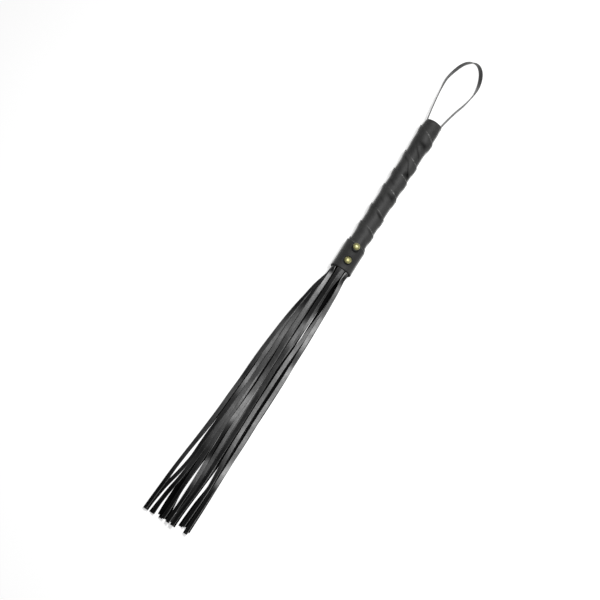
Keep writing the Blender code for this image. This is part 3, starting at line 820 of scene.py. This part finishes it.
def lay_tails():
    """Every tail laid on the ones before it: {name: [(centre, across, through, width factor)]}."""
    reaches = [START + STEP * k for k in range(station(FINISH) + 1)]
    heap = [[0.0] * LINE_LENGTH for _ in reaches]
    fan = [[0.0] * LINE_LENGTH for _ in reaches]
    laid = {}
    for order, (name, (place, radius, tone, end, places, tilt_keys)) in enumerate(TAILS.items()):
        angle = math.radians(place)
        ring_x, ring_z = radius * math.cos(angle), AXIS_Z / MM + radius * math.sin(angle)
        first_tilt = tilt_keys[0][1]
        ring_tilt = first_tilt + ((place - 90 - first_tilt + 90) % 180) - 90
        waist = ring_x * 0.95 + (places[0] - ring_x) * 0.1
        x_at = curve([START, 0, 9, *TAIL_STOPS], [ring_x, ring_x, waist, *places])
        key_reaches, key_tilts = zip(*tilt_keys)
        tilt_at = curve([START, 0, *key_reaches], [ring_tilt, ring_tilt, *key_tilts])
        seed = order * 1.37
        xs, tilts = [], []
        for reach in reaches:
            free = ease((reach - 40) / 60)
            xs.append(x_at(reach) + 0.25 * free * math.sin(reach * 0.047 + seed * 1.7))
            wave = 1.8 * free * math.sin(reach * 0.06 + seed) + 0.8 * math.sin(reach * 0.19 + seed * 2)
            tilts.append(math.radians(tilt_at(reach) + wave))
        needs = [resting_height(heap[k], xs[k], tilts[k]) for k in range(len(reaches))]
        tops = []
        for j in range(len(TAIL_STOPS)):
            low = station(TAIL_STOPS[max(j - 1, 0)])
            high = station(TAIL_STOPS[min(j + 1, len(TAIL_STOPS) - 1)])
            tops.append(max(needs[low:high + 1]))
        z_at = curve(TAIL_STOPS, tops)
        zs = [z_at(reach) for reach in reaches]
        for k, reach in enumerate(reaches):
            raise_line(heap[k], xs[k], zs[k], tilts[k])
            zs[k] = ring_z + (zs[k] - ring_z) * ease(reach / 65)
        short = []
        for k, reach in enumerate(reaches):
            lack = resting_height(fan[k], xs[k], tilts[k]) - zs[k]
            short.append(min(max(lack, 0.0), 2.2) * ease((reach - 8) / 24))
        short = spread_mean(spread_max(short, 3), 5)
        points = []
        for k, reach in enumerate(reaches):
            zs[k] += short[k]
            raise_line(fan[k], xs[k], zs[k], tilts[k])
            points.append(Vector((AXIS_X + xs[k] * MM, MOUTH - reach * MM, zs[k] * MM)))
        last = station(end)
        stations = []
        for k in range(last + 1):
            ahead = points[k + 1] - points[max(k - 1, 0)]
            centre = points[k]
            if k == last:
                centre = centre + (points[k + 1] - centre) * ((end - START) / STEP - last)
            side = Vector((-ahead.y, ahead.x, 0)).normalized()
            ahead.normalize()
            up = ahead.cross(side)
            across = side * math.cos(tilts[k]) + up * math.sin(tilts[k])
            through = up * math.cos(tilts[k]) - side * math.sin(tilts[k])
            factor = 0.94 + 0.06 * ease(reaches[k] / 30) + 0.02 * math.sin(reaches[k] * 0.11 + seed * 3)
            stations.append((centre, across, through, factor))
        laid[name] = stations
    return laid


def painted_end_shade(j, k):
    """Painted shade: the tails' colour darkens towards their ends, standing in for ends turned away from
    the light.
    """
    return 0.6 * ease((NECK + STEP * j - 262) / 45)


def add_fringe(faces, edge):
    """The tails, and their first stretch together as the neck."""
    roots = bmesh.new()
    split = station(NECK)
    for name, stations in lay_tails().items():
        # tone picks the tail's lit or shaded leather copy: painted light and shade.
        tone = TAILS[name][2]
        first, rest = stations[:split + 1], stations[split:]
        rings = strip_rings(first, STRIP_WIDTH * MM, TAIL_THICK * MM)
        part = loft("part", rings, [faces[tone], edge], strip_wear(0), strip_side)
        for polygon in part.data.polygons:
            polygon.material_index = len(faces) if polygon.material_index else tone
        roots.from_mesh(part.data)
        bpy.data.objects.remove(part)
        rings = strip_rings(rest, STRIP_WIDTH * MM, TAIL_THICK * MM)
        tail = loft("strip_" + name[5:], rings, [faces[tone], edge], strip_wear(len(rings)), strip_side,
                    painted_end_shade)
        path = [s[0] for s in rest]
        length = sum((b - a).length for a, b in zip(path, path[1:]))
        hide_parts(name)
        if name in frame["bodies"]:
            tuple(path[0])
            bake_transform(tail)
        else:
            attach(tail, "fall")
        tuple(path[0])
    neck = wrap_up("fringe_roots", roots, [*faces, edge])
    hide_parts("fringe_neck")
    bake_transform(neck)


# ---------------------------------------------------------------- build

add_camera()
add_world(WORLD_STRENGTH)
add_area("key", KEY_PLACE, KEY_AIM, KEY_SIZE, KEY_POWER)

# Leather: dark and light tone, worn edge, then roughness, grain size and grain depth
wrap_leather = leather(
    "wrap_leather", (0.016, 0.016, 0.016), (0.028, 0.028, 0.0275), (0.14, 0.14, 0.136),
    0.60, 0.00055, 0.00016, sheen=0.06, gloss=0.3, spots=0.1, rim=1.0,
)
strap_leather = leather(
    "strap_leather", (0.014, 0.014, 0.014), (0.024, 0.024, 0.0235), (0.08, 0.08, 0.08),
    0.50, 0.0005, 0.00012, sheen=0.2, gloss=0.4,
)
# The tail leathers are lit and shaded copies of one leather, painted light and shade: the second is near
# black for tails lying in shade, the fourth lighter for tails facing the light, the others between.
tail_leathers_lit_and_shaded = [
    leather(
        "tail_leather_a", (0.004, 0.004, 0.0042), (0.008, 0.008, 0.0083), (0.04, 0.04, 0.04),
        0.42, 0.0005, 0.00006, folds=0.15,
    ),
    leather(
        "tail_leather_painted_shade", (0.0012, 0.0012, 0.0013), (0.0025, 0.0025, 0.0027), (0.006, 0.006, 0.006),
        0.75, 0.0006, 0.00008, folds=0.15, gloss=0.03,
    ),
    leather(
        "tail_leather_c", (0.005, 0.005, 0.0052), (0.010, 0.010, 0.0103), (0.04, 0.04, 0.04),
        0.41, 0.0005, 0.00006, folds=0.15,
    ),
    leather(
        "tail_leather_painted_light", (0.008, 0.008, 0.0082), (0.015, 0.015, 0.0153), (0.06, 0.06, 0.06),
        0.41, 0.0005, 0.00005, folds=0.15, gloss=0.55,
    ),
]
wrap_edge = raw_edge("wrap_edge", (0.15, 0.15, 0.145))
tail_edge = raw_edge("tail_edge", (0.22, 0.22, 0.217))
# Near-black paint for the collar's mouth edge: painted shade where the tails go in.
mouth_painted_shade = raw_edge("mouth_painted_shade", (0.004, 0.004, 0.004))
brass = metal("rivet_brass", (0.22, 0.20, 0.07), (0.46, 0.45, 0.22), 0.45, 0.75)
steel = metal("pin_steel", (0.40, 0.40, 0.41), (0.62, 0.62, 0.63), 0.35)
wood = timber("core_wood")
paper = floor_white("floor_white")

wrap = add_wrap(wrap_leather, wrap_edge)
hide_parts("handle_wrap")
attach(wrap, "handle")
collar = add_collar(wrap_leather, wrap_edge, mouth_painted_shade)
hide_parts("collar")
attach(collar, "handle")
for k in (0, 1):
    dome = add_rivet(k, brass)
    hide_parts(f"rivet_cap_{k + 1}")
    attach(dome, "handle")
disc = add_disc(wrap_leather)
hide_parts("butt_disc")
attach(disc, "handle")
strap, strap_path = add_loop(strap_leather, wrap_edge)
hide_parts("wrist_loop", "strap_end_left", "strap_end_right")
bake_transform(strap)
strap_line = [s[0] for s in strap_path]
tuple(strap_line[0])
sum((b - a).length for a, b in zip(strap_line, strap_line[1:]))
add_fringe(tail_leathers_lit_and_shaded, tail_edge)
carried_over = {"handle_core": wood, "fringe_band": tail_leathers_lit_and_shaded[1], "rivet_pin_1": steel, "rivet_pin_2": steel}
for node, material in carried_over.items():
    for slot in frame["nodes"][node].material_slots:
        slot.material = material

bpy.ops.mesh.primitive_plane_add(size=8, location=(0, 0, -0.0002))
floor = bpy.context.object
floor.name = "studio_floor"
floor.data.materials.append(paper)

bpy.context.scene.view_settings.view_transform = "Standard"
